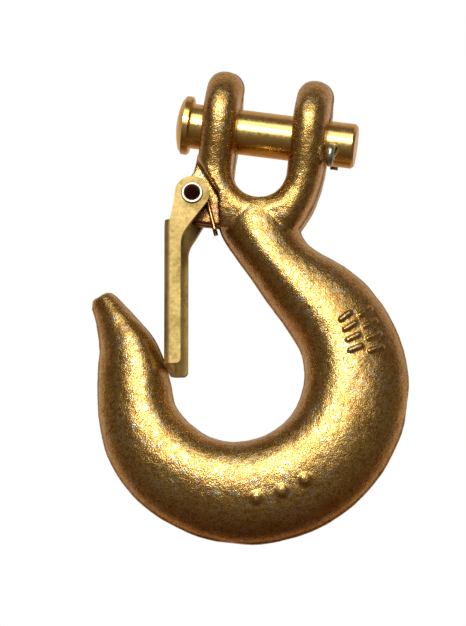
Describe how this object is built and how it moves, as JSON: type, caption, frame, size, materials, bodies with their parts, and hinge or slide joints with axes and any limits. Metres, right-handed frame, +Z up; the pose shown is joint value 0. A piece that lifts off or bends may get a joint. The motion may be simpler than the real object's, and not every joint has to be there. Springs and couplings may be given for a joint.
{
  "type": "clevis slip hook with safety latch",
  "caption": "Forged steel clevis slip hook for trailer chain, with a headed clevis pin, a bent cotter pin and a spring-loaded safety latch across the throat.",
  "frame": {"origin": "on the clevis pin's axis, half way between the two clevis ears", "axes": "+X along the clevis pin away from its head, +Y from the front to the back through the hook's thickness, +Z up towards the chain"},
  "size_m": [0.0802, 0.0256, 0.1185],
  "materials": {
    "gold_zinc_forged_steel": "satin",
    "gold_zinc_turned_steel": "polished",
    "clear_zinc_steel_wire": "satin",
    "gold_zinc_steel_sheet": "satin",
    "bright_steel_tube": "polished",
    "gold_zinc_spring_wire": "satin"
  },
  "bodies": {
    "hook": {"hook_forging": "gold_zinc_forged_steel", "latch_rivet": "bright_steel_tube", "latch_spring": "gold_zinc_spring_wire"},
    "latch_plate": {"latch": "gold_zinc_steel_sheet"},
    "pin": {"clevis_pin": "gold_zinc_turned_steel", "cotter_pin": "clear_zinc_steel_wire"}
  },
  "joints": [
    {"name": "latch_pivot", "type": "hinge", "parent": "hook", "child": "latch_plate", "pos_m": [-0.01565, 0, -0.0184], "axis": [0, -1, 0], "range_deg": [0, 40], "stiffness_Nm_per_rad": 0.12, "springref_deg": -45.84, "deforming": ["latch_spring"]},
    {"name": "clevis_pin_turn", "type": "hinge", "parent": "hook", "child": "pin", "pos_m": [0, 0, 0], "axis": [1, 0, 0], "continuous": true}
  ]
}
